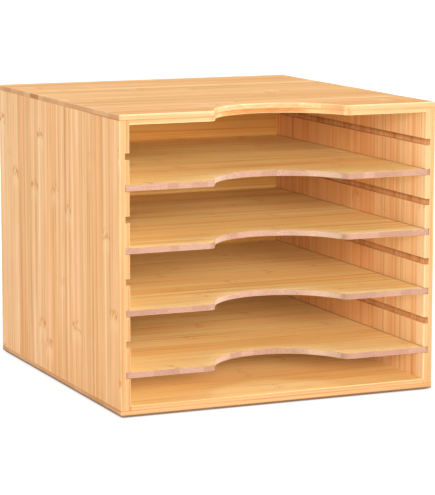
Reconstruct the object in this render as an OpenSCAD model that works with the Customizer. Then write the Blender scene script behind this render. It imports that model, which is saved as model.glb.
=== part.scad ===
// Open-fronted bamboo sorter for square craft paper, with removable shelves.
// All sizes are in millimetres. X is the width, the open front faces -Y and +Z is up.
// The origin is the middle of the footprint, on the surface that the sorter stands on.

/* [Case] */
// Clear width between the side panels: a 305 mm sheet and room for fingers
inner_w = 316; // [306:1:360]
// Depth of the case, from its front edges to its back
case_d = 360; // [330:1:400]
// Thickness of each side panel
side_t = 10; // [8:0.5:16]
// Thickness of the top and bottom panels
panel_t = 10; // [8:0.5:16]
// Thickness of the tongue that laps over the end of a side panel
lap_t = 5.5; // [4:0.25:7]
// Thickness of the back panel
back_t = 6; // [4:0.5:9]
// How far the edges of the back panel are let into the case
back_rebate = 4.5; // [3:0.25:6]
// Radius that the outer edges of the case are sanded to
edge_r = 1.5; // [0.5:0.25:2.5]
// Radius of the edges around the open front
mouth_edge_r = 0.8; // [0.4:0.1:1.5]

/* [Grooves] */
// Number of grooves in each side panel
groove_count = 8; // [8:1:12]
// Height from one groove to the next
groove_pitch = 30; // [20:0.5:40]
// Depth of a groove
groove_depth = 4.5; // [3:0.25:6]
// Gap above and below a shelf in its groove
shelf_play = 0.3; // [0.15:0.05:0.6]
// Gap between each end of a shelf and the bottom of its groove
shelf_end_play = 0.5; // [0.2:0.1:1]

/* [Shelves] */
// Thickness of a shelf
shelf_t = 6; // [4:0.5:8]
// How far a shelf's front edge sits behind the front of the case
shelf_setback = 0.5; // [0:0.25:4]
// Gap between a shelf's rear edge and the back panel
shelf_back_play = 0.5; // [0.3:0.1:2]
// Radius of a shelf's front edges
shelf_edge_r = 0.8; // [0.4:0.1:1.5]

/* [Finger scoops] */
// Radius of the scoop in the front edge of the top panel and of each shelf
scoop_r = 71.5; // [60:0.5:90]
// How far the scoop reaches back from the front edge
scoop_depth = 55; // [30:1:58]
// Radius that turns each end of the scoop into the front edge
scoop_end_r = 8; // [3:0.5:15]

/* [Foot pads] */
// Diameter of a foot pad
pad_d = 12; // [8:1:20]
// Thickness of a foot pad
pad_t = 1.2; // [1:0.1:3]
// Distance of a pad's middle from the nearest side and front or back edge
pad_inset = 14; // [12:1:40]

/* [Hidden] */

// Facets of a full turn for large and for small radii
$fn = 96;
small_fn = 32;
// How far a cutting shape runs past the face that it cuts
past = 1;

// The groove that each shelf sits in, counted from the bottom, for shelves 1 to 4
shelf_grooves = [7, 5, 3, 1];

// Outline of the case
case_w = inner_w + 2 * side_t;
inner_h = (groove_count + 1) * groove_pitch;
floor_z = pad_t + panel_t;
ceiling_z = floor_z + inner_h;
case_top = ceiling_z + panel_t;
front_y = -case_d / 2;
back_y = case_d / 2;

// Ends of the side panels, under the tongues of the top and bottom panels
side_bottom = pad_t + lap_t;
side_top = case_top - lap_t;

// Back panel, and the front face that the shelves stop short of
back_w = inner_w + 2 * back_rebate;
back_h = inner_h + 2 * back_rebate;
back_face_y = back_y - back_t;

// A groove and the shelf that slides in it
groove_h = shelf_t + 2 * shelf_play;
shelf_w = inner_w + 2 * (groove_depth - shelf_end_play);
shelf_front = front_y + shelf_setback;
shelf_d = back_face_y - shelf_back_play - shelf_front;

// Scoop, seen from above with the front edge on Y = 0: the middle of its arc, the
// middle of the right end radius, and the arc's half angle. An end radius sinks a
// hair into the arc, so that the two surfaces cross instead of only touching.
scoop_sink = 0.02;
scoop_mid_y = scoop_depth - scoop_r;
scoop_end_reach = scoop_r + scoop_end_r - scoop_sink;
scoop_end_x = sqrt(pow(scoop_end_reach, 2) - pow(scoop_end_r - scoop_mid_y, 2));
scoop_half_angle = atan2(scoop_end_x, scoop_end_r - scoop_mid_y);

function groove_z(number) = floor_z + number * groove_pitch;

// A rectangle centred on the origin with its corners rounded
module rounded_rectangle(size_x, size_y, r) {
    square([size_x - 2 * r, size_y], center = true);
    square([size_x, size_y - 2 * r], center = true);
    for (sx = [-1, 1], sy = [-1, 1])
        translate([sx * (size_x / 2 - r), sy * (size_y / 2 - r)])
            circle(r = r, $fn = small_fn);
}

// The glued-up case as one block with every outer edge sanded round
module case_envelope() {
    height = case_top - pad_t;
    translate([0, 0, pad_t + height / 2])
        intersection() {
            linear_extrude(height, center = true)
                rounded_rectangle(case_w, case_d, edge_r);
            rotate([90, 0, 0])
                linear_extrude(case_d, center = true)
                    rounded_rectangle(case_w, height, edge_r);
            rotate([90, 0, 90])
                linear_extrude(case_w, center = true)
                    rounded_rectangle(case_d, height, edge_r);
        }
}

// What sanding takes off a square edge at the origin, with the wood at X > 0 and Y < 0
module sanded_corner(r) {
    difference() {
        translate([-past, -r])
            square([r + past, r + past]);
        translate([r, -r])
            circle(r = r, $fn = small_fn);
    }
}

// What a scoop's round cutter takes off a board of thickness t on Z = 0
module scoop_arc_cut(t, upper_r, lower_r) {
    translate([0, scoop_mid_y, 0])
        rotate_extrude() {
            translate([0, -past])
                square([scoop_r, t + 2 * past]);
            translate([scoop_r, t])
                sanded_corner(upper_r);
            translate([scoop_r, 0])
                mirror([0, 1])
                    sanded_corner(lower_r);
        }
}

// A disc with sanded edges: the wood that is left inside the end radius of a scoop
module scoop_end_wood(t, upper_r, lower_r) {
    rotate_extrude($fn = small_fn)
        difference() {
            square([scoop_end_r, t]);
            translate([scoop_end_r, t])
                mirror([1, 0])
                    sanded_corner(upper_r);
            translate([scoop_end_r, 0])
                rotate(180)
                    sanded_corner(lower_r);
        }
}

// What rounding the right end of a scoop takes off between the arc and the front edge
module scoop_end_cut(t, upper_r, lower_r) {
    difference() {
        translate([0, 0, -past])
            linear_extrude(t + 2 * past)
                polygon([
                    [0, scoop_mid_y],
                    [scoop_end_x, 0],
                    [scoop_end_x, scoop_end_r],
                    [scoop_r * sin(scoop_half_angle), scoop_mid_y + scoop_r * cos(scoop_half_angle)]
                ]);
        translate([scoop_end_x, scoop_end_r, 0])
            scoop_end_wood(t, upper_r, lower_r);
    }
}

// The whole finger scoop of a board of thickness t, with its front edge on Y = 0
module finger_scoop(t, upper_r, lower_r) {
    scoop_arc_cut(t, upper_r, lower_r);
    for (side = [0, 1])
        mirror([side, 0, 0])
            scoop_end_cut(t, upper_r, lower_r);
}

// Sands a straight upper front edge at Y = 0 and Z = 0, over the length w
module sanded_front_edge(r, w) {
    rotate([90, 0, 90])
        linear_extrude(w, center = true)
            sanded_corner(r);
}

// The space that the back panel fills, flush with the back of the case
module back_space() {
    translate([-back_w / 2, back_face_y, floor_z - back_rebate])
        cube([back_w, back_t + past, back_h]);
}

// Rebate under the right tongue of the top panel, with the panel's inner face on Z = 0
module lap_rebate() {
    translate([inner_w / 2, front_y - past, -past])
        cube([side_t + past, case_d + 2 * past, panel_t - lap_t + past]);
}

module top_panel() {
    color("burlywood")
        difference() {
            intersection() {
                case_envelope();
                translate([-case_w / 2, front_y, ceiling_z])
                    cube([case_w, case_d, panel_t]);
            }
            for (side = [0, 1])
                mirror([side, 0, 0])
                    translate([0, 0, ceiling_z])
                        lap_rebate();
            back_space();
            translate([0, front_y, ceiling_z]) {
                finger_scoop(panel_t, edge_r, mouth_edge_r);
                mirror([0, 0, 1])
                    sanded_front_edge(mouth_edge_r, inner_w);
            }
        }
}

module bottom_panel() {
    color("burlywood")
        difference() {
            intersection() {
                case_envelope();
                translate([-case_w / 2, front_y, pad_t])
                    cube([case_w, case_d, panel_t]);
            }
            for (side = [0, 1])
                mirror([side, 0, 0])
                    translate([0, 0, floor_z])
                        mirror([0, 0, 1])
                            lap_rebate();
            back_space();
            translate([0, front_y, floor_z])
                sanded_front_edge(mouth_edge_r, inner_w);
        }
}

// A groove in the right side panel, from its front edge to the face of the back panel
module groove(number) {
    translate([inner_w / 2 - past, front_y - past, groove_z(number) - groove_h / 2])
        cube([groove_depth + past, back_face_y - front_y + past, groove_h]);
}

// The right side panel; the left one is its mirror image
module side_panel() {
    color("tan")
        difference() {
            intersection() {
                case_envelope();
                translate([inner_w / 2, front_y, side_bottom])
                    cube([side_t, case_d, side_top - side_bottom]);
            }
            for (number = [1 : groove_count])
                groove(number);
            back_space();
            translate([inner_w / 2, front_y, side_bottom - past])
                linear_extrude(side_top - side_bottom + 2 * past)
                    rotate([0, 0, 90])
                        sanded_corner(mouth_edge_r);
        }
}

module right_side_panel() {
    side_panel();
}

module left_side_panel() {
    mirror([1, 0, 0])
        side_panel();
}

module back_panel() {
    color("peru")
        translate([-back_w / 2, back_face_y, floor_z - back_rebate])
            cube([back_w, back_t, back_h]);
}

// One removable shelf, in the groove that its number stands for
module shelf(number) {
    color("sandybrown")
        translate([0, shelf_front, groove_z(shelf_grooves[number - 1]) - shelf_t / 2])
            difference() {
                translate([-shelf_w / 2, 0, 0])
                    cube([shelf_w, shelf_d, shelf_t]);
                finger_scoop(shelf_t, shelf_edge_r, shelf_edge_r);
                translate([0, 0, shelf_t])
                    sanded_front_edge(shelf_edge_r, shelf_w + 2 * past);
                mirror([0, 0, 1])
                    sanded_front_edge(shelf_edge_r, shelf_w + 2 * past);
            }
}

module foot_pad(side_x, side_y) {
    color("dimgray")
        translate([side_x * (case_w / 2 - pad_inset), side_y * (case_d / 2 - pad_inset), 0])
            cylinder(d = pad_d, h = pad_t);
}

top_panel();
bottom_panel();
left_side_panel();
right_side_panel();
back_panel();
shelf(1);  // shelf_1
shelf(2);  // shelf_2
shelf(3);  // shelf_3
shelf(4);  // shelf_4
foot_pad(-1, -1);  // foot_pad_front_left
foot_pad(1, -1);  // foot_pad_front_right
foot_pad(-1, 1);  // foot_pad_back_left
foot_pad(1, 1);  // foot_pad_back_right
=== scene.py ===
"""A bamboo sorter for craft paper: its bamboo and rubber finishes, a white floor, soft lamps
and the camera. The scene is in metres. Inside the finishes, lengths are in millimetres.
"""

import math

import bpy
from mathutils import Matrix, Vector


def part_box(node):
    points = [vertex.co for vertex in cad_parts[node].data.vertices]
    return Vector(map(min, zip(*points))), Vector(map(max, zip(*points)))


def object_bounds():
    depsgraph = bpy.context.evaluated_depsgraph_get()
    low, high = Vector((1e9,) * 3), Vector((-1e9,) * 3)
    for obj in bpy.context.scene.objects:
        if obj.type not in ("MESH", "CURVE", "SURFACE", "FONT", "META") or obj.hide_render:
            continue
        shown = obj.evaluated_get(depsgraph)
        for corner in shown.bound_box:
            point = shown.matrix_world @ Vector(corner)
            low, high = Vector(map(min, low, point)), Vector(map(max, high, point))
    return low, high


MM = 1000.0

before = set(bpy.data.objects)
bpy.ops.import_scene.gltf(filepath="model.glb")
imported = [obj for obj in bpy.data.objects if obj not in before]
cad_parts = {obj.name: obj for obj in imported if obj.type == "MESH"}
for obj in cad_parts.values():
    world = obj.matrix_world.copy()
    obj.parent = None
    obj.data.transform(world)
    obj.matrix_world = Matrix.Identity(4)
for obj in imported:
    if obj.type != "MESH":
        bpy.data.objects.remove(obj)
solids_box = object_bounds()


# ---------------------------------------------------------------- nodes and their sums

# The Mix node's sockets for colours: the share, the first and the second colour, the result
MIX_SHARE, MIX_FIRST, MIX_SECOND, MIX_RESULT = 0, 6, 7, 2


def shade(red, green, blue):
    """A colour as it is seen, in 0 to 255, as the linear colour that the shaders take."""

    def linear(level):
        level = level / 255
        return level / 12.92 if level <= 0.04045 else ((level + 0.055) / 1.055) ** 2.4

    return (linear(red), linear(green), linear(blue), 1.0)


def grey(level):
    """A grey of this linear level."""
    return (level, level, level, 1.0)


class Wire:
    """A socket in a node tree. Sums on it add the Math nodes that work them out."""

    def __init__(self, nodes, socket):
        self.nodes = nodes
        self.socket = socket

    def maths(self, operation, *terms):
        return self.nodes.node("ShaderNodeMath", {"operation": operation}, dict(enumerate(terms)))

    def __add__(self, other):
        return self.maths("ADD", self, other)

    def __radd__(self, other):
        return self.maths("ADD", other, self)

    def __sub__(self, other):
        return self.maths("SUBTRACT", self, other)

    def __rsub__(self, other):
        return self.maths("SUBTRACT", other, self)

    def __mul__(self, other):
        return self.maths("MULTIPLY", self, other)

    def __rmul__(self, other):
        return self.maths("MULTIPLY", other, self)

    def __truediv__(self, other):
        return self.maths("DIVIDE", self, other)

    def __rtruediv__(self, other):
        return self.maths("DIVIDE", other, self)

    def __abs__(self):
        return self.maths("ABSOLUTE", self)

    def whole(self):
        return self.maths("FLOOR", self)

    def part(self):
        return self.maths("FRACT", self)

    def larger(self, other):
        return self.maths("MAXIMUM", self, other)

    def swing(self, width):
        """A level of 0 to 1 as a swing round 0, of this width in all."""
        return (self - 0.5) * width

    def rise(self, low, high):
        """0 up to low, 1 from high on, and a smooth climb between them."""
        settings = {"interpolation_type": "SMOOTHSTEP"}
        sockets = {"Value": self, "From Min": low, "From Max": high}
        return self.nodes.node("ShaderNodeMapRange", settings, sockets)

    def fall(self, low, high):
        """1 up to low, 0 from high on, and a smooth slope between them."""
        return 1.0 - self.rise(low, high)


class NodeTree:
    """The nodes of a finish or of the world."""

    def __init__(self, tree):
        self.tree = tree

    def node(self, kind, settings, sockets, output=0):
        """Adds a node: its settings first, then a value or a link for each socket."""
        made = self.tree.nodes.new(kind)
        for name, setting in settings.items():
            if name == "stops":
                self.set_stops(made.color_ramp, setting)
            else:
                setattr(made, name, setting)
        for name, given in sockets.items():
            if isinstance(given, Wire):
                self.tree.links.new(given.socket, made.inputs[name])
            else:
                made.inputs[name].default_value = given
        return Wire(self, made.outputs[output])

    @staticmethod
    def set_stops(ramp, stops):
        while len(ramp.elements) < len(stops):
            ramp.elements.new(1.0)
        for element, (place, colour) in zip(ramp.elements, stops):
            element.position = place
            element.color = colour

    def light_path(self, kind):
        """1 for rays of one kind, and 0 for the others."""
        return self.node("ShaderNodeLightPath", {}, {}, f"Is {kind} Ray")


class Finish(NodeTree):
    """One procedural material, on a Principled shader of its own."""

    def __init__(self, name, **constants):
        self.material = bpy.data.materials.new(name)
        self.material.use_nodes = True
        super().__init__(self.material.node_tree)
        self.shader = self.tree.nodes["Principled BSDF"]
        for socket, value in constants.items():
            self.shader.inputs[socket.replace("_", " ")].default_value = value
        # The point of the surface, in millimetres in the shared frame
        point = self.node("ShaderNodeTexCoord", {}, {}, "Object")
        scaled = self.node("ShaderNodeVectorMath", {"operation": "SCALE"}, {0: point, "Scale": MM})
        self.x, self.y, self.z = self.parts_of(scaled)

    def feed(self, socket, wire):
        self.tree.links.new(wire.socket, self.shader.inputs[socket])

    def parts_of(self, vector):
        """The three parts of a vector or colour."""
        made = self.node("ShaderNodeSeparateXYZ", {}, {0: vector}).socket.node
        return [Wire(self, output) for output in made.outputs]

    def vector(self, x, y, z):
        return self.node("ShaderNodeCombineXYZ", {}, {0: x, 1: y, 2: z})

    def noise(self, x, y, z, detail=1.0, roughness=0.5):
        sockets = {"Vector": self.vector(x, y, z), "Scale": 1.0}
        sockets |= {"Detail": detail, "Roughness": roughness}
        return self.node("ShaderNodeTexNoise", {}, sockets)

    def chances(self, x, y, z):
        """Three random numbers from 0 to 1 that stay the same for the same three inputs."""
        colour = self.node("ShaderNodeTexWhiteNoise", {}, {"Vector": self.vector(x, y, z)}, "Color")
        return self.parts_of(colour)

    def ramp(self, level, stops):
        return self.node("ShaderNodeValToRGB", {"stops": stops}, {0: level})

    def blend(self, share, first, second, way="MIX"):
        settings = {"data_type": "RGBA", "blend_type": way, "clamp_factor": True}
        sockets = {MIX_SHARE: share, MIX_FIRST: first, MIX_SECOND: second}
        return self.node("ShaderNodeMix", settings, sockets, MIX_RESULT)

    def tint(self, share, colour, filter_colour):
        """The colour as it looks through a filter that covers this share of it."""
        return self.blend(share, colour, filter_colour, "MULTIPLY")

    def relief(self, height, depth_mm, strength=1.0):
        """Bumps the surface by a height of 0 to 1 that stands for a depth in millimetres."""
        sockets = {"Height": height, "Distance": depth_mm / MM, "Strength": strength}
        self.feed("Normal", self.node("ShaderNodeBump", {}, sockets))


# ---------------------------------------------------------------- colours of the bamboo

# Outer face of the top and the bottom board, from its darkest fibres to its palest
OUTER_TONES = [
    (0.0, shade(195, 131, 72)),
    (0.25, shade(220, 163, 103)),
    (0.55, shade(236, 183, 122)),
    (0.8, shade(243, 195, 139)),
    (1.0, shade(249, 214, 168)),
]
# Outer face of the side boards, which is a little deeper
SIDE_TONES = [
    (0.0, shade(206, 142, 84)),
    (0.25, shade(226, 170, 114)),
    (0.55, shade(240, 190, 136)),
    (0.8, shade(246, 201, 150)),
    (1.0, shade(253, 217, 174)),
]
# Faces that look into the case, and the shelves, which are more golden and painted paler to make up
# for the little light inside the case
INNER_TONES = [
    (0.0, shade(226, 170, 103)),
    (0.25, shade(246, 208, 139)),
    (0.55, shade(254, 225, 161)),
    (0.8, shade(255, 231, 174)),
    (1.0, shade(255, 238, 190)),
]
# Inner face of the right side board, which is less golden, and painted paler to make up for the
# little light inside the case
PINKER_TONES = [
    (0.0, shade(214, 148, 96)),
    (0.25, shade(240, 190, 134)),
    (0.55, shade(253, 216, 166)),
    (0.8, shade(255, 224, 180)),
    (1.0, shade(255, 234, 196)),
]
# Front face of the back board, which is more orange
BACK_TONES = [
    (0.0, shade(163, 101, 43)),
    (0.25, shade(185, 127, 62)),
    (0.55, shade(197, 143, 73)),
    (0.8, shade(201, 151, 85)),
    (1.0, shade(205, 162, 100)),
]
# Sides of the strips on a board's long edge, painted darker than the faces to offset the strong
# front light
EDGE_TONES = [
    (0.0, shade(146, 100, 62)),
    (0.35, shade(176, 134, 89)),
    (0.65, shade(189, 153, 110)),
    (1.0, shade(204, 175, 134)),
]
# Sawn end of a strip
END_TONES = [
    (0.0, shade(201, 147, 99)),
    (0.3, shade(210, 158, 110)),
    (0.7, shade(218, 167, 120)),
    (1.0, shade(224, 177, 131)),
]
DARK_END = shade(190, 132, 82)
# Cut edge of a shelf's core, which is pinkish, painted darker to offset the strong front light
CORE_TONES = [
    (0.0, shade(126, 87, 73)),
    (0.3, shade(143, 105, 88)),
    (0.6, shade(157, 119, 101)),
    (1.0, shade(184, 150, 131)),
]
# Painted highlight on the cut edge where the scoops' corners are rounded
CORNER_HIGHLIGHT_PALE = shade(222, 196, 168)
KNUCKLE_BROWN = shade(200, 118, 48)
KNUCKLE_HALO = shade(252, 216, 164)
STREAK_BROWN = shade(206, 132, 64)
GLUE_BROWN = shade(200, 132, 70)
SEAM_BROWN = shade(176, 104, 50)
GROOVE_MOUTH_BROWN = shade(120, 70, 34)
# Painted shade of the gap between the bottom board and the floor
GAP_SHADE_BROWN = shade(112, 70, 40)
# Pale colour of rounded edges: partly wear, partly a painted highlight
EASED_WEAR_AND_HIGHLIGHT = shade(255, 224, 180)
# Filters that lie over a colour
PINK_FILTER = shade(255, 240, 230)
LAYER_FILTER = shade(255, 246, 236)
# Painted shade: a filter that darkens inner faces further back in the case
INSIDE_SHADE_FILTER = shade(250, 214, 176)
# Painted shade: a filter that darkens the grooves' floors
GROOVE_SHADE_FILTER = shade(190, 144, 104)
SCOOP_FILTER = shade(244, 214, 176)


# ---------------------------------------------------------------- bamboo

# Strips that the boards are glued up from, how far their joints wander and over what length,
# and how the inner layer's wandering and strips differ from the outer layer's
STRIP_WIDTH = 21.0
STRIP_WANDER = 12.0
WANDER_LENGTH = 35.0
LAYER_WANDER = 3.7
LAYER_OFFSET = 0.43
# The most that a strip's grain is shifted along it, so that no two look the same
RUN_SPREAD = 900.0
# Fibres from the finest to the broadest: their length and width, and how strongly they show
HAIR = (90.0, 0.7)
HAIR_SHOWS = 0.5
THREAD = (260.0, 2.2)
THREAD_SHOWS = 1.1
CORD = (420.0, 6.0)
CORD_SHOWS = 1.0
CLOUD = (90.0, 16.0)
CLOUD_SHOWS = 0.35
# Each strip takes its clouds from another place in the noise, up to this far away
CLOUD_SPREAD = 40.0
# Length and width of the brown streaks, and of the patches in which streaks and stains show
STREAK = (320.0, 1.7)
PATCH = (45.0, 9.0)
# Levels of the noise between which streaks, patches of streaks and patches of stain come up
STREAK_EDGE = (0.6, 0.72)
PATCH_EDGE = (0.35, 0.65)
STAIN_EDGE = (0.3, 0.7)
# Where a face's colour lies on its tones, which strips are pinker, and how strongly
MIDDLE_TONE = 0.57
PINK_STRIPS = (0.3, 1.0)
PINK_SHOWS = 0.6
# A strip's knuckles: their least distance, how much it varies, half their length, how far they
# bow across the strip, which strips have strong ones, and the dashes that they are made of
KNUCKLE_GAP = 170.0
KNUCKLE_GAP_SPREAD = 160.0
KNUCKLE_REACH = 8.0
KNUCKLE_BOW = 16.0
KNUCKLE_STRIPS = (0.1, 0.7)
DASH = (6.0, 3.5)
DASH_EDGE = (0.46, 0.62)
# The pale band beside a knuckle
HALO_AWAY = 9.0
HALO_REACH = 14.4
HALO_SHOWS = 0.45
# Joints between strips, and the stain along one side of some of them
GLUE_LINE = 0.8
GLUE_SHOWS = 0.7
STAIN_WIDTH = (0.3, 3.0)
STAIN_STRIPS = (0.3, 1.0)
STAIN_SHOWS = 0.5
# How much strips and grain show on the long edges
EDGE_STRIPS = 0.2
EDGE_GRAIN = 0.6
# Sawn ends: the darkest strip's level, how far the others rise above it, and their dots
END_DARKEST = 0.1
END_STRIPS = 0.8
END_DOT = (4.0, 0.8)
END_DOTS_SHOW = 0.3
# The roughness of the wood, how it differs in threads and knuckles, and how deep the grain is
SATIN = 0.56
THREAD_SATIN = 0.14
KNUCKLE_SATIN = 0.1
GRAIN_DEPTH = 0.08
GRAIN_STRENGTH = 0.35
# Parts of the normal between which one facing surface gives way to the next
TURN = (0.45, 0.9)


class Bamboo(Finish):
    """A bamboo board's finish. axes names its grain, its width and its thickness."""

    def __init__(self, node, axes, seed):
        super().__init__("bamboo_" + node, Specular_IOR_Level=0.05)
        self.seed = seed
        order = ["xyz".index(axis) for axis in axes]
        place = (self.x, self.y, self.z)
        self.along, self.across, self.through = [place[i] for i in order]
        normal = self.parts_of(self.node("ShaderNodeTexCoord", {}, {}, "Normal"))
        self.end_on, self.side_on, self.flat_on = [abs(normal[i]) for i in order]
        # Its lowest and highest corner, each by axis
        corners = [[part * MM for part in corner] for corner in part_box(node)]
        self.low, self.high = [dict(zip("xyz", corner)) for corner in corners]

    def lay_strips(self, layer):
        """Splits the board into strips, and draws the chances of the one that a point is in."""
        wander = self.noise(self.seed, self.across / WANDER_LENGTH, layer * LAYER_WANDER, 0.0)
        strips = (self.across + wander * STRIP_WANDER) / STRIP_WIDTH + layer * LAYER_OFFSET
        self.in_strip = strips.part()
        self.chance, self.pinkness, self.shift = self.chances(strips.whole(), layer, self.seed)
        self.run = self.along + self.shift * RUN_SPREAD

    def fibres(self, length, width, detail=1.0):
        """Noise that is drawn out along the grain."""
        return self.noise(self.run / length, self.across / width, self.through / width, detail)

    def draw_grain(self):
        """Hair lines, threads, cords and soft bands, and the patches in which streaks show."""
        self.hair = self.fibres(*HAIR)
        self.thread = self.fibres(*THREAD)
        cord = self.fibres(*CORD)
        cloud_length, cloud_width = CLOUD
        sheet = self.chance * CLOUD_SPREAD
        cloud = self.noise(self.run / cloud_length, self.across / cloud_width, sheet)
        fine = self.hair.swing(HAIR_SHOWS) + self.thread.swing(THREAD_SHOWS)
        self.grain = fine + cord.swing(CORD_SHOWS) + cloud.swing(CLOUD_SHOWS)
        patch_length, patch_width = PATCH
        self.patchy = self.noise(self.along / patch_length, self.across / patch_width, self.seed)

    def face_colour(self, tones, contrast, strips):
        level = MIDDLE_TONE + self.chance.swing(strips) + self.grain * contrast
        pink = self.pinkness.rise(*PINK_STRIPS) * PINK_SHOWS
        return self.tint(pink, self.ramp(level, tones), PINK_FILTER)

    def add_streaks(self, colour, strength):
        """Thin orange-brown fibres that run far along a strip and fade in and out."""
        line = self.fibres(*STREAK).rise(*STREAK_EDGE)
        return self.blend(line * self.patchy.rise(*PATCH_EDGE) * strength, colour, STREAK_BROWN)

    def add_knuckles(self, colour, strength):
        """Clusters of fine dashes across a strip, each beside a pale band. Some are faint."""
        gap = KNUCKLE_GAP + KNUCKLE_GAP_SPREAD * self.pinkness
        off = (self.run / gap).part().swing(gap)
        aside = self.in_strip - 0.5
        off = off + aside * aside * KNUCKLE_BOW
        vigour = self.chance.rise(*KNUCKLE_STRIPS) * strength
        dash = self.fibres(*DASH, detail=0.0).rise(*DASH_EDGE)
        self.dark = abs(off).fall(0.0, KNUCKLE_REACH) * dash * vigour
        halo = abs(off + HALO_AWAY).fall(0.0, HALO_REACH) * vigour
        colour = self.blend(halo * HALO_SHOWS, colour, KNUCKLE_HALO)
        return self.blend(self.dark, colour, KNUCKLE_BROWN)

    def add_glue_lines(self, colour, strength):
        """The joints between strips, with a stain beside some of them."""
        uneven = self.patchy.rise(*STAIN_EDGE)
        stain = (self.in_strip * STRIP_WIDTH).fall(*STAIN_WIDTH) * self.shift.rise(*STAIN_STRIPS)
        colour = self.blend(stain * uneven * STAIN_SHOWS * strength, colour, STREAK_BROWN)
        border = 0.5 - abs(self.in_strip - 0.5)
        line = (border * STRIP_WIDTH).fall(0.0, GLUE_LINE) * self.shift * uneven
        return self.blend(line * GLUE_SHOWS * strength, colour, GLUE_BROWN)

    def edge_colour(self, paleness):
        level = paleness + self.chance.swing(EDGE_STRIPS) + self.grain * EDGE_GRAIN
        return self.ramp(level, EDGE_TONES)

    def end_colour(self):
        length, width = END_DOT
        dots = self.noise(self.along / length, self.across / width, self.through / width)
        level = END_DARKEST + self.chance * END_STRIPS + dots.swing(END_DOTS_SHOW)
        return self.ramp(level, END_TONES)

    def finish_surface(self, colour):
        satin = SATIN + self.thread.swing(THREAD_SATIN) + self.dark * KNUCKLE_SATIN
        self.feed("Base Color", colour)
        self.feed("Roughness", satin)
        self.relief(self.hair * 0.5 + self.thread * 0.5, GRAIN_DEPTH, GRAIN_STRENGTH)


# ---------------------------------------------------------------- the boards of the case

# Half the depth over which one layer of a board gives way to the other, how far the glue
# there spreads, and how strongly it shows
LAYER_STEP = 0.05
LAYER_GLUE = (0.1, 0.6)
LAYER_GLUE_ON_EDGE = 0.4
LAYER_GLUE_ON_END = 0.3
# How much grain and strips show on the outer faces
OUTER_CONTRAST = 1.0
OUTER_STRIPS = 0.28
# Behind this stretch the boards' long edges have the colour of their faces, not the edge tones
# painted darker for the front light
REAR_STRETCH = (100.0, 160.0)
REAR_CONTRAST = 0.6
REAR_STRIPS = 0.2
# A strip whose sawn end is darker than the others, at the left end of the top board only
DARK_END_PLACE = 64.0
DARK_END_EDGE = (12.0, 13.0)
LEFT_END = (-10.0, 10.0)
# The ends of a side board's strips have nearly the colour of its face
SIDE_END_AS_FACE = 0.8
# The floor of the grooves lies between these depths under a side board's outer face
FLOOR_FROM = (3.0, 4.0)
FLOOR_TO = (6.0, 7.0)
# The lowest groove has the lowest shelf in it, with some play under it. Then the grooves'
# distance, and how far up a groove the painted shadow of its lip begins and is full
SHELF_PLAY = 0.3
GROOVE_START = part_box("shelf_4")[0].z * MM - SHELF_PLAY
GROOVE_PITCH = 30.0
GROOVE_LIP = (1.5, 5.5)
# How strong the painted shade on the grooves' floors is, all over and under the lip
GROOVE_SHOWS = 0.05
GROOVE_LIP_SHOWS = 0.5
# Where the finger scoop ends, left and right of the middle of the top board's front edge, and
# a butt joint in one of the strips there
SCOOP_EDGE = (70.0, 78.0)
SCOOP_SHOWS = 0.75
BUTT_PLACE = -149.0
BUTT_WIDTH = (0.3, 0.9)
BUTT_SHOWS = 0.4
# Painted shade: the bottom board's lowest edge is dark up to between these heights, for the shade
# in the gap above the floor
GAP_SHADE_HEIGHTS = (2.5, 3.3)
GAP_SHADE_SHOWS = 0.85
# Heights of the seams between the side boards and the tongues that lap over their ends, the
# place of the lower laps' upright shoulders and half their height
LAP_HEIGHTS = [corner.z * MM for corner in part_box("left_side_panel")]
SIDE_FACE = 158.0
SHOULDER_HALF = 2.25
SHOULDER_STEP = 0.1
LAP_SEAM = (0.2, 0.9)
SHOULDER_SEAM = (0.2, 0.8)
SEAM_SHOWS = 0.6
# The seams come and go along their length, and are faint behind this stretch
SEAM_LENGTH = 60.0
SEAM_EDGE = (0.2, 0.5)
SEAM_FADE = (-120.0, -20.0)
SEAM_FADES_BY = 0.9


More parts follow.
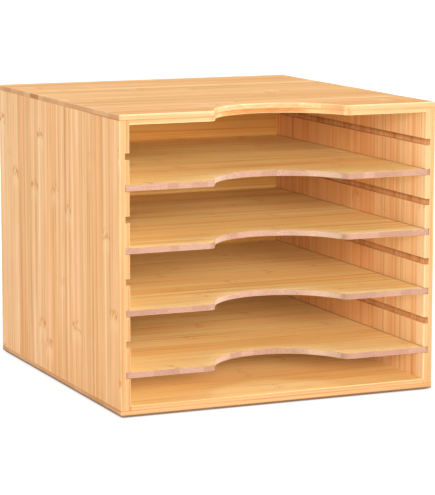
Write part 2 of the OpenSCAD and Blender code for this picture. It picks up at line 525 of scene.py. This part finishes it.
class CaseBoard(Bamboo):
    """A board of two layers: its faces, its long edges, its sawn ends and its lap joints."""

    def __init__(self, node, seed, looks):
        super().__init__(node, looks["axes"], seed)
        self.board = node
        self.looks = looks
        outward = looks["outward"]
        thickness = looks["axes"][2]
        outer_face = (self.high if outward > 0 else self.low)[thickness]
        split = looks["split"]
        self.sunk = (outer_face - self.through) * outward
        self.layer = self.sunk.rise(split - LAYER_STEP, split + LAYER_STEP)
        self.layer_glue = abs(self.sunk - split).fall(*LAYER_GLUE) * looks["layers"]
        self.lay_strips(self.layer)
        self.draw_grain()
        face = self.face()
        colour = self.blend(self.side_on.rise(*TURN), face, self.long_edge())
        colour = self.blend(self.end_on.rise(*TURN), colour, self.sawn_end(face))
        colour = self.edge_wear_and_painted_light(colour)
        if node != "back_panel":
            colour = self.add_lap_seams(colour)
        self.finish_surface(colour)

    def face(self):
        looks = self.looks
        outer = self.face_colour(looks["outer"], OUTER_CONTRAST, OUTER_STRIPS)
        inner = self.face_colour(looks["inner"], looks["contrast"], looks["strips"])
        # Painted shade: the inner face darkens further back in the case, where less light reaches
        if "shade_further_in" in looks:
            start, stop, depth = looks["shade_further_in"]
            inner = self.tint(self.y.rise(start, stop) * depth, inner, INSIDE_SHADE_FILTER)
        face = self.add_streaks(self.blend(self.layer, outer, inner), looks["streaks"])
        face = self.add_glue_lines(self.add_knuckles(face, looks["knuckles"]), looks["joints"])
        if self.board.endswith("side_panel"):
            face = self.paint_groove_shade(face)
        return face

    def paint_groove_shade(self, face):
        """Painted shade: the floors of the grooves are darker, and most so under their upper lips.
        """
        in_groove = self.sunk.rise(*FLOOR_FROM) * self.sunk.fall(*FLOOR_TO)
        risen = ((self.z - GROOVE_START) / GROOVE_PITCH).part() * GROOVE_PITCH
        shows = GROOVE_SHOWS + GROOVE_LIP_SHOWS * risen.rise(*GROOVE_LIP)
        return self.tint(in_groove * shows, face, GROOVE_SHADE_FILTER)

    def long_edge(self):
        rear = self.face_colour(OUTER_TONES, REAR_CONTRAST, REAR_STRIPS)
        edge = self.blend(self.y.rise(*REAR_STRETCH), self.edge_colour(self.looks["edge"]), rear)
        edge = self.tint(self.layer * self.looks["layers"], edge, LAYER_FILTER)
        edge = self.blend(self.layer_glue * LAYER_GLUE_ON_EDGE, edge, GLUE_BROWN)
        if self.board == "top_panel":
            edge = self.sand_front_edge(edge)
        return edge

    def sand_front_edge(self, edge):
        """The lower layer is more golden along the finger scoop, and one strip has a butt joint."""
        in_scoop = abs(self.x).fall(*SCOOP_EDGE)
        edge = self.tint(in_scoop * self.layer * SCOOP_SHOWS, edge, SCOOP_FILTER)
        butt = abs(self.x - BUTT_PLACE).fall(*BUTT_WIDTH) * (1.0 - self.layer)
        return self.blend(butt * BUTT_SHOWS, edge, GLUE_BROWN)

    def sawn_end(self, face):
        end = self.end_colour()
        if self.board == "top_panel":
            dark_end = abs(self.y - DARK_END_PLACE).fall(*DARK_END_EDGE)
            end = self.blend(dark_end * self.x.fall(*LEFT_END), end, DARK_END)
        if self.board.endswith("side_panel"):
            end = self.blend(SIDE_END_AS_FACE, end, face)
        return self.blend(self.layer_glue * LAYER_GLUE_ON_END, end, GLUE_BROWN)

    def edge_wear_and_painted_light(self, colour):
        """Rounded edges are paler, partly from wear and partly as a painted highlight. The bottom
        board has painted shade along its lowest edge instead.
        """
        if self.board == "bottom_panel":
            # Painted shade: a dark band for the gap under the bottom board
            return self.blend(self.z.fall(*GAP_SHADE_HEIGHTS) * GAP_SHADE_SHOWS, colour, GAP_SHADE_BROWN)
        # 1 where the surface looks halfway between two faces, and 0 on the faces
        flat = self.flat_on * self.flat_on
        between = flat * (1.0 - flat) * 4.0
        # Partly wear, partly a painted highlight where the rounded edges catch the light
        return self.blend(between * self.looks["eased_wear_and_highlight"], colour, EASED_WEAR_AND_HIGHLIGHT)

    def add_lap_seams(self, colour):
        """The thin dark line of each lap joint, where the outside of the case shows it."""
        lower, upper = LAP_HEIGHTS
        seam = abs(self.z - lower).fall(*LAP_SEAM) + abs(self.z - upper).fall(*LAP_SEAM)
        middle = lower + SHOULDER_HALF
        shoulder = abs(self.z - middle).fall(SHOULDER_HALF - SHOULDER_STEP, SHOULDER_HALF)
        seam = seam + abs(abs(self.x) - SIDE_FACE).fall(*SHOULDER_SEAM) * shoulder
        uneven = self.noise(self.seed, self.y / SEAM_LENGTH, self.x / SEAM_LENGTH)
        worn = uneven.rise(*SEAM_EDGE) * (1.0 - SEAM_FADES_BY * self.y.rise(*SEAM_FADE))
        return self.blend(seam * worn * SEAM_SHOWS, colour, SEAM_BROWN)


# Each board: the axes of its grain, width and thickness, which way its outer face looks, how
# thick its outer layer is and the tones of its outer and inner face. Then how much grain and
# strips show on its inner face, how strong its streaks, knuckles and joints are, how pale its
# long edges are, how clear their two layers are and how pale its rounded edges are, partly wear
# and partly a painted highlight. The last entry, where a board has it, is painted shade on an
# inner face that is darker further back in the case: where that starts, where it is full, and by
# how much
CASE_BOARDS = {
    "top_panel": {
        "axes": "xyz", "outward": 1, "split": 5.5, "outer": OUTER_TONES, "inner": INNER_TONES,
        "contrast": 1.0, "strips": 0.26, "streaks": 0.5, "knuckles": 0.5, "joints": 0.6,
        "edge": 0.6, "layers": 0.5, "eased_wear_and_highlight": 0.3,
    },
    "bottom_panel": {
        "axes": "xyz", "outward": -1, "split": 5.5, "outer": OUTER_TONES, "inner": INNER_TONES,
        "contrast": 0.95, "strips": 0.24, "streaks": 0.5, "knuckles": 0.35, "joints": 0.6,
        "edge": 0.42, "layers": 0.1, "shade_further_in": (-180.0, -170.0, 0.22),
    },
    "left_side_panel": {
        "axes": "zyx", "outward": -1, "split": 6.4, "outer": SIDE_TONES, "inner": INNER_TONES,
        "contrast": 1.0, "strips": 0.2, "streaks": 0.5, "knuckles": 0.7, "joints": 0.45,
        "edge": 0.41, "layers": 0.15, "eased_wear_and_highlight": 0.1,
    },
    "right_side_panel": {
        "axes": "zyx", "outward": 1, "split": 6.4, "outer": SIDE_TONES, "inner": PINKER_TONES,
        "contrast": 0.85, "strips": 0.12, "streaks": 0.2, "knuckles": 0.3, "joints": 0.1,
        "edge": 0.53, "layers": 0.3, "eased_wear_and_highlight": 0.1, "shade_further_in": (-120.0, 0.0, 0.65),
    },
    "back_panel": {
        "axes": "xzy", "outward": 1, "split": 3.0, "outer": OUTER_TONES, "inner": BACK_TONES,
        "contrast": 0.9, "strips": 0.2, "streaks": 0.3, "knuckles": 0.15, "joints": 0.12,
        "edge": 0.5, "layers": 0.5, "eased_wear_and_highlight": 0.3,
    },
}


# ---------------------------------------------------------------- the shelves

SHELVES = ["shelf_1", "shelf_2", "shelf_3", "shelf_4"]
# How much grain, strips, streaks, knuckles and joints show on their faces
SHELF_CONTRAST = 1.1
SHELF_STRIPS = 0.24
SHELF_STREAKS = 0.5
SHELF_KNUCKLES = 0.35
SHELF_JOINTS = 0.5
# Half the depth over which a shelf's upper face gives way to its lower one
SHELF_LAYER_STEP = 0.1
# Where the shelves go into the side boards, left and right of the middle, they are darker in a
# narrow band
GROOVE_MOUTH = 157.5
GROOVE_MOUTH_BAND = (0.3, 1.5)
GROOVE_MOUTH_SHOWS = 0.5
# The core's blocks run from front to back, so the front edge shows their ends. Their width,
# how far and over what length their joints wander, and how much they differ
BLOCK_WIDTH = 14.0
BLOCK_WANDER = 16.0
BLOCK_WANDER_LENGTH = 24.0
BLOCKS_SHOW = 0.22
# The rows of the noise and of the chances that the blocks take
BLOCK_WANDER_ROW = 0.5
BLOCK_CHANCE_ROW = 3.0
# How pale the core is, and its dots: their length along X, Y and Z, and how much they show
CORE_PALENESS = 0.6
CORE_DOT = (0.9, 6.0, 0.9)
CORE_DOTS_SHOW = 1.1
# The skins start this far above and below the middle of the core, and show a little paler
SKIN_START = (1.9, 2.2)
SKIN_SHOWS = 0.2
SKIN_PALENESS = 0.6
# How far behind the front edge the scoop begins, where the cut is painted paler to stand in for
# light, and most so at its rounded corners, where a painted highlight lies
SCOOP_START = (2.0, 8.0)
SCOOP_PAINTED_LIGHT = 0.12
CORNER_TURN = (0.4, 0.9)
CORNER_HIGHLIGHT_SHOWS = 0.45
# The face gives way to the cut edge between these parts of the normal
RIM_TURN = (0.85, 0.99)


class Shelf(Bamboo):
    """Thin ply: golden faces, and a pinkish core between two pale skins at its cut edges."""

    def __init__(self, node, seed):
        super().__init__(node, "xyz", seed)
        self.middle = (self.low["z"] + self.high["z"]) / 2
        self.lay_strips((self.through - self.middle).rise(-SHELF_LAYER_STEP, SHELF_LAYER_STEP))
        self.draw_grain()
        colour = self.blend(self.flat_on.fall(*RIM_TURN), self.face(), self.cut_edge())
        self.finish_surface(colour)

    def face(self):
        face = self.face_colour(INNER_TONES, SHELF_CONTRAST, SHELF_STRIPS)
        face = self.add_knuckles(self.add_streaks(face, SHELF_STREAKS), SHELF_KNUCKLES)
        face = self.add_glue_lines(face, SHELF_JOINTS)
        # A narrow darker band where the shelf goes into the side boards
        at_groove_mouth = abs(abs(self.x) - GROOVE_MOUTH).fall(*GROOVE_MOUTH_BAND)
        return self.blend(at_groove_mouth * GROOVE_MOUTH_SHOWS, face, GROOVE_MOUTH_BROWN)

    def cut_edge(self):
        wander = self.noise(self.seed, self.x / BLOCK_WANDER_LENGTH, BLOCK_WANDER_ROW, 0.0)
        blocks = (self.x + wander * BLOCK_WANDER) / BLOCK_WIDTH
        block_tone = self.chances(blocks.whole(), BLOCK_CHANCE_ROW, self.seed)[0]
        dot_x, dot_y, dot_z = CORE_DOT
        dots = self.noise(self.x / dot_x, self.y / dot_y, self.z / dot_z)
        start, stop = SCOOP_START
        behind_scoop_start = self.y.rise(self.low["y"] + start, self.low["y"] + stop)
        # Painted light: the scoop's cut face is paler than the straight front edge
        level = CORE_PALENESS + behind_scoop_start * SCOOP_PAINTED_LIGHT
        level = level + block_tone.swing(BLOCKS_SHOW) + dots.swing(CORE_DOTS_SHOW)
        skin = abs(self.z - self.middle).rise(*SKIN_START)
        cut = self.ramp(level, CORE_TONES)
        cut = self.blend(skin * SKIN_SHOWS, cut, self.edge_colour(SKIN_PALENESS))
        # Painted highlight on the scoop's rounded corners
        corner = behind_scoop_start * self.end_on.rise(*CORNER_TURN)
        return self.blend(corner * CORNER_HIGHLIGHT_SHOWS, cut, CORNER_HIGHLIGHT_PALE)


# ---------------------------------------------------------------- foot pads

PAD_TONES = [(0.3, shade(58, 54, 50)), (0.7, shade(84, 78, 72))]
SPECKS_IN_MM = 3.0
PAD_SATIN = 0.75
SPECK_SATIN = 0.15
SPECK_DEPTH = 0.05


class PadRubber(Finish):
    """Dark rubber with a fine speckle."""

    def __init__(self):
        super().__init__("pad_rubber", Specular_IOR_Level=0.3)
        place = [part * SPECKS_IN_MM for part in (self.x, self.y, self.z)]
        speck = self.noise(*place, detail=3.0, roughness=0.6)
        self.feed("Base Color", self.ramp(speck, PAD_TONES))
        self.feed("Roughness", PAD_SATIN + speck * SPECK_SATIN)
        self.relief(speck, SPECK_DEPTH)


# ---------------------------------------------------------------- floor, light and camera

FLOOR_HALF = 20.0
# The floor's own glow close to the case and far from it, and how it takes the lamps
NEAR_GLOW = grey(0.8)
FAR_GLOW = grey(1.0)
GLOW_STRETCH = (100.0, 700.0)
FLOOR_GREY = grey(0.25)
# How far inside the case's outline the floor's glow ends
UNDER_STRETCH = (-4.0, 0.0)
WHITE = grey(1.0)
WORLD_LIGHT = 0.08

LAMP_TARGET = (0.0, 0.0, 0.15)
# Lower soft boxes would glare on the top board when it is seen from across the case
GLARE_ELEVATION = 20.0
# Each soft box: its azimuth and elevation, distance, width and height, and light
LAMPS = {
    "front_low_softbox": (-9, 6, 3.5, (1.6, 0.6), 0.64),
    "front_high_softbox": (-12, 15, 3.5, (1.6, 0.5), 0.56),
    "right_low_softbox": (20, 4, 3.5, (1.4, 0.4), 0.28),
    "right_side_softbox": (65, 8, 3.5, (1.4, 0.8), 0.5),
    "near_side_softbox": (-88, 14, 3.2, (1.6, 1.2), 0.32),
    "far_side_softbox": (90, 40, 3.5, (1.6, 1.0), 0.22),
    "back_softbox": (180, 40, 3.5, (1.6, 1.0), 0.4),
    "top_softbox": (0, 86, 3.0, (2.0, 2.0), 0.4),
}

CAMERA_PLACE = (-0.9579, -2.2373, 0.5073)
CAMERA_AZIMUTH = -23.394
CAMERA_ELEVATION = 8.824
CAMERA_LENS = 171.66
SENSOR_HEIGHT = 36.0


class FloorPaper(Finish):
    """White paper that keeps the case's shadow, and glows only where it is looked at."""

    def __init__(self):
        super().__init__("white_floor", Base_Color=grey(0.8), Roughness=0.9, Specular_IOR_Level=0.1)
        corner = solids_box[1] * MM
        beyond_x = abs(self.x) - corner.x
        beyond_y = abs(self.y) - corner.y
        under = beyond_x.fall(*UNDER_STRETCH) * beyond_y.fall(*UNDER_STRETCH)
        away = beyond_x.larger(beyond_y).rise(*GLOW_STRETCH)
        glow_colour = self.blend(away, NEAR_GLOW, FAR_GLOW)
        glow = self.node("ShaderNodeEmission", {}, {"Color": glow_colour})
        dim = self.node("ShaderNodeBsdfDiffuse", {}, {"Color": FLOOR_GREY})
        lit = self.node("ShaderNodeAddShader", {}, {0: glow, 1: dim})
        plain = Wire(self, self.shader.outputs[0])
        seen = self.light_path("Camera").larger(self.light_path("Glossy"))
        seen = seen.larger(self.light_path("Transmission"))
        sockets = {0: seen * (1.0 - under), 1: plain, 2: lit}
        mixed = self.node("ShaderNodeMixShader", {}, sockets)
        self.tree.links.new(mixed.socket, self.tree.nodes["Material Output"].inputs["Surface"])


def lay_floor():
    mesh = bpy.data.meshes.new("floor")
    corners = [(-1, -1), (1, -1), (1, 1), (-1, 1)]
    points = [(x * FLOOR_HALF, y * FLOOR_HALF, 0.0) for x, y in corners]
    mesh.from_pydata(points, [], [(0, 1, 2, 3)])
    mesh.materials.append(FloorPaper().material)
    floor = bpy.data.objects.new("floor", mesh)
    bpy.context.scene.collection.objects.link(floor)


def light_world():
    """A white background that throws only a little light."""
    world = bpy.data.worlds.new("studio")
    world.use_nodes = True
    bpy.context.scene.world = world
    studio = NodeTree(world.node_tree)
    levels = {"Value": studio.light_path("Camera"), "To Min": WORLD_LIGHT, "To Max": 1.0}
    strength = studio.node("ShaderNodeMapRange", {}, levels)
    background = world.node_tree.nodes["Background"]
    background.inputs["Color"].default_value = WHITE
    world.node_tree.links.new(strength.socket, background.inputs["Strength"])


def hang_lamp(name, azimuth, elevation, distance, size, level):
    """A soft box round the case, turned to it. level is the light that it throws there."""
    turn = math.radians(azimuth)
    climb = math.radians(elevation)
    level_reach = math.cos(climb)
    sight = Vector((math.sin(turn) * level_reach, -math.cos(turn) * level_reach, math.sin(climb)))
    lamp = bpy.data.lights.new(name, "AREA")
    lamp.shape = "RECTANGLE"
    lamp.size, lamp.size_y = size
    lamp.energy = level * math.pi**2 * distance**2
    held = bpy.data.objects.new(name, lamp)
    held.location = Vector(LAMP_TARGET) + sight * distance
    held.rotation_euler = sight.to_track_quat("Z", "Y").to_euler()
    held.visible_camera = False
    held.visible_glossy = elevation > GLARE_ELEVATION
    bpy.context.scene.collection.objects.link(held)


def set_camera():
    data = bpy.data.cameras.new("camera")
    data.sensor_fit = "VERTICAL"
    data.sensor_height = SENSOR_HEIGHT
    data.lens = CAMERA_LENS
    camera = bpy.data.objects.new("camera", data)
    camera.location = CAMERA_PLACE
    tilt = math.radians(90.0 - CAMERA_ELEVATION)
    camera.rotation_euler = (tilt, 0.0, math.radians(CAMERA_AZIMUTH))
    bpy.context.scene.collection.objects.link(camera)
    bpy.context.scene.camera = camera


# ---------------------------------------------------------------- the scene

# The first seed of the case's boards and of the shelves
CASE_SEED = 1.5
SHELF_SEED = 11.5


def put_on(node, finish):
    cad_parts[node].material_slots[0].material = finish.material


for count, (board, looks) in enumerate(CASE_BOARDS.items()):
    put_on(board, CaseBoard(board, CASE_SEED + count, looks))
for count, shelf in enumerate(SHELVES):
    put_on(shelf, Shelf(shelf, SHELF_SEED + count))
rubber = PadRubber()
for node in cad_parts:
    if node.startswith("foot_pad"):
        put_on(node, rubber)

lay_floor()
light_world()
for lamp_name, settings in LAMPS.items():
    hang_lamp(lamp_name, *settings)
set_camera()
bpy.context.scene.view_settings.view_transform = "Standard"
